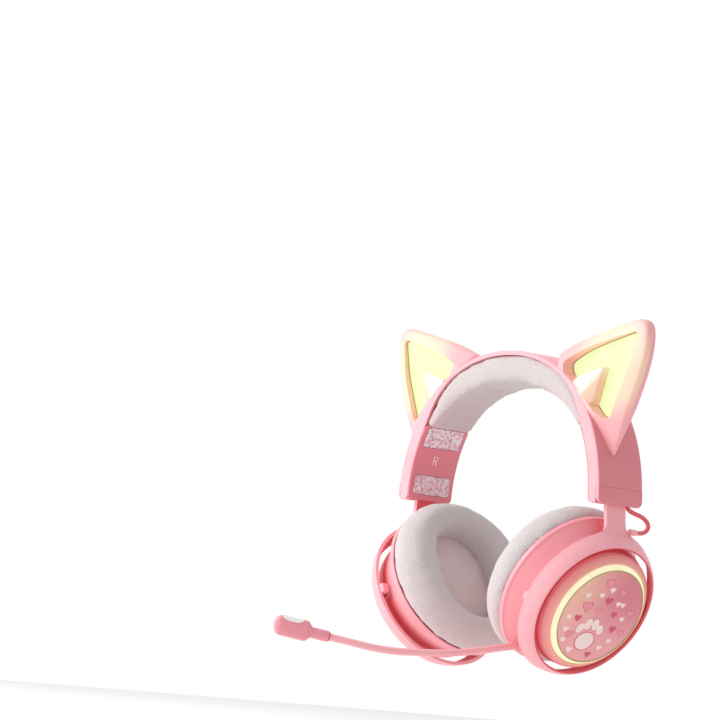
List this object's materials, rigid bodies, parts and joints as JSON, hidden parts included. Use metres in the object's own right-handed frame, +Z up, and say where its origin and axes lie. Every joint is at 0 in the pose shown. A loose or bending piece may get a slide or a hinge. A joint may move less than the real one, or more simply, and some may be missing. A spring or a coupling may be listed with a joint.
{
  "type": "gaming headset",
  "caption": "Over-ear wireless gaming headset with lit cat ears on the band, hoop yokes, oval ear cushions, round lit ear cups and a boom microphone.",
  "frame": {"origin": "centre of the wearer's head between the ends of the band, on the plane midway between the ear cups", "axes": "+Z up towards the crown, -Y the way the wearer faces, +X towards the wearer's left ear, which has the microphone"},
  "size_m": [0.2238, 0.2122, 0.2075],
  "materials": {
    "shell_pink": "satin moulded plastic",
    "leg_pink": "satin moulded plastic",
    "spring_steel": "brushed",
    "steel": "plain steel",
    "pad_fabric": "soft grey knitted fabric",
    "speaker_cloth": "thin acoustic cloth",
    "inlay": "speckled printed plastic",
    "bezel_peach": "satin translucent plastic",
    "light": "lit light guide",
    "ridge_cream": "satin translucent plastic",
    "cable_rubber": "soft cable sheath",
    "faceplate": "gloss printed plastic",
    "black_plastic": "matt black plastic",
    "diaphragm": "thin film",
    "circuit_board": "solder resist",
    "battery": "wrapped cell",
    "control_pink": "satin plastic",
    "boom_pink": "satin plastic",
    "mic_white": "white diffuser",
    "capsule": "matt black"
  },
  "bodies": {
    "band": {"band_shell": "shell_pink", "band_spring": "spring_steel", "head_pad": "pad_fabric", "leg_cover_left": "leg_pink", "leg_cover_right": "leg_pink", "end_cap_left": "leg_pink", "end_cap_right": "leg_pink", "trim_inlays": "inlay", "band_screws": "steel", "ear_back_left": "shell_pink", "ear_back_right": "shell_pink", "ear_bezel_left": "bezel_peach", "ear_bezel_right": "bezel_peach", "ear_light_left": "light", "ear_light_right": "light", "ear_ridge_left": "ridge_cream", "ear_ridge_right": "ridge_cream", "cable_loop_left": "cable_rubber", "cable_loop_right": "cable_rubber"},
    "yoke_left": {"yoke_left": "shell_pink", "slider_strip_left": "spring_steel", "pivot_pins_left": "steel"},
    "cup_left": {"cup_housing_left": "shell_pink", "baffle_left": "black_plastic", "driver_left": "black_plastic", "diaphragm_left": "diaphragm", "cup_cap_left": "bezel_peach", "led_board_left": "circuit_board", "light_ring_left": "light", "faceplate_left": "faceplate", "ear_cushion_left": "pad_fabric", "speaker_cloth_left": "speaker_cloth", "main_board": "circuit_board", "usb_port": "steel", "audio_jack": "black_plastic"},
    "yoke_right": {"yoke_right": "shell_pink", "slider_strip_right": "spring_steel", "pivot_pins_right": "steel"},
    "cup_right": {"cup_housing_right": "shell_pink", "baffle_right": "black_plastic", "driver_right": "black_plastic", "diaphragm_right": "diaphragm", "cup_cap_right": "bezel_peach", "led_board_right": "circuit_board", "light_ring_right": "light", "faceplate_right": "faceplate", "ear_cushion_right": "pad_fabric", "speaker_cloth_right": "speaker_cloth", "battery": "battery"},
    "volume_wheel": {"volume_wheel": "control_pink"},
    "power_button": {"power_button": "control_pink"},
    "mute_button": {"mute_button": "control_pink"},
    "boom": {"boom_base": "boom_pink", "boom_flex_inner": "boom_pink"},
    "boom_middle": {"boom_middle": "boom_pink", "boom_flex_outer": "boom_pink"},
    "mic": {"boom_tip": "boom_pink", "mic_head": "boom_pink", "mic_diffuser": "mic_white", "mic_capsule": "capsule"}
  },
  "joints": [
    {"name": "slider_left", "type": "slide", "parent": "band", "child": "yoke_left", "axis": [0.1045, 0, -0.9945], "range_m": [0, 0.025], "deforming": ["cable_loop_left"]},
    {"name": "cup_tilt_left", "type": "hinge", "parent": "yoke_left", "child": "cup_left", "pos_m": [0.06685, 0, -0.05185], "axis": [0, 1, 0], "range_deg": [-8, 8]},
    {"name": "slider_right", "type": "slide", "parent": "band", "child": "yoke_right", "axis": [-0.1045, 0, -0.9945], "range_m": [0, 0.025], "deforming": ["cable_loop_right"]},
    {"name": "cup_tilt_right", "type": "hinge", "parent": "yoke_right", "child": "cup_right", "pos_m": [-0.06685, 0, -0.05185], "axis": [0, 1, 0], "range_deg": [-8, 8]},
    {"name": "volume", "type": "hinge", "parent": "cup_left", "child": "volume_wheel", "pos_m": [0.05001, 0.03755, -0.06008], "axis": [0.8829, 0, -0.4695], "range_deg": [-150, 150]},
    {"name": "power_button_press", "type": "slide", "parent": "cup_left", "child": "power_button", "axis": [0.3261, -0.7193, 0.6133], "range_m": [0, 0.0008], "stiffness_N_per_m": 900},
    {"name": "mute_button_press", "type": "slide", "parent": "cup_left", "child": "mute_button", "axis": [0.4066, -0.5, 0.7647], "range_m": [0, 0.0008], "stiffness_N_per_m": 900},
    {"name": "boom_slide", "type": "slide", "parent": "cup_left", "child": "boom", "axis": [-0.2375, -0.9525, -0.1908], "range_m": [-0.025, 0]},
    {"name": "boom_swing", "type": "hinge", "parent": "boom", "child": "boom_middle", "pos_m": [0.02979, -0.06649, -0.08737], "axis": [0, 0, 1], "range_deg": [-25, 25], "deforming": ["boom_flex_inner"]},
    {"name": "mic_nod", "type": "hinge", "parent": "boom_middle", "child": "mic", "pos_m": [0.01314, -0.10389, -0.08952], "axis": [-0.9135, 0.4067, 0], "range_deg": [-25, 35], "deforming": ["boom_flex_outer"]}
  ]
}
